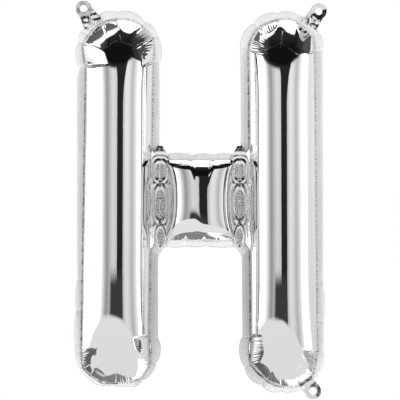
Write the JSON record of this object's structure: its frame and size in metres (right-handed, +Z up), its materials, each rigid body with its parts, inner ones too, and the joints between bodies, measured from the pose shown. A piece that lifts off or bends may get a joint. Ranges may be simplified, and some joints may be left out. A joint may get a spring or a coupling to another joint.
{
  "type": "letter foil balloon",
  "caption": "Air-filled silver foil balloon in the form of the capital letter H, with a heat-sealed flange, punched hanging tabs and a filling tab.",
  "frame": {"origin": "on the letter's middle line and seam plane, level with the midpoint between the holes of the two hanging tabs", "axes": "+Z up the letter, +X to its right as it is read from the front, -Y out of its front"},
  "size_m": [0.2355, 0.0664, 0.3707],
  "materials": {
    "mirror_foil": "mirror-bright metallised film, blown taut",
    "satin_foil": "satin heat-sealed metallised film"
  },
  "bodies": {
    "root": {"front_sheet": "mirror_foil", "back_sheet": "mirror_foil", "hanging_tab_top_left": "satin_foil", "hanging_tab_top_right": "satin_foil", "filling_tab_front_ply": "satin_foil", "filling_tab_back_ply": "satin_foil"}
  },
  "joints": []
}
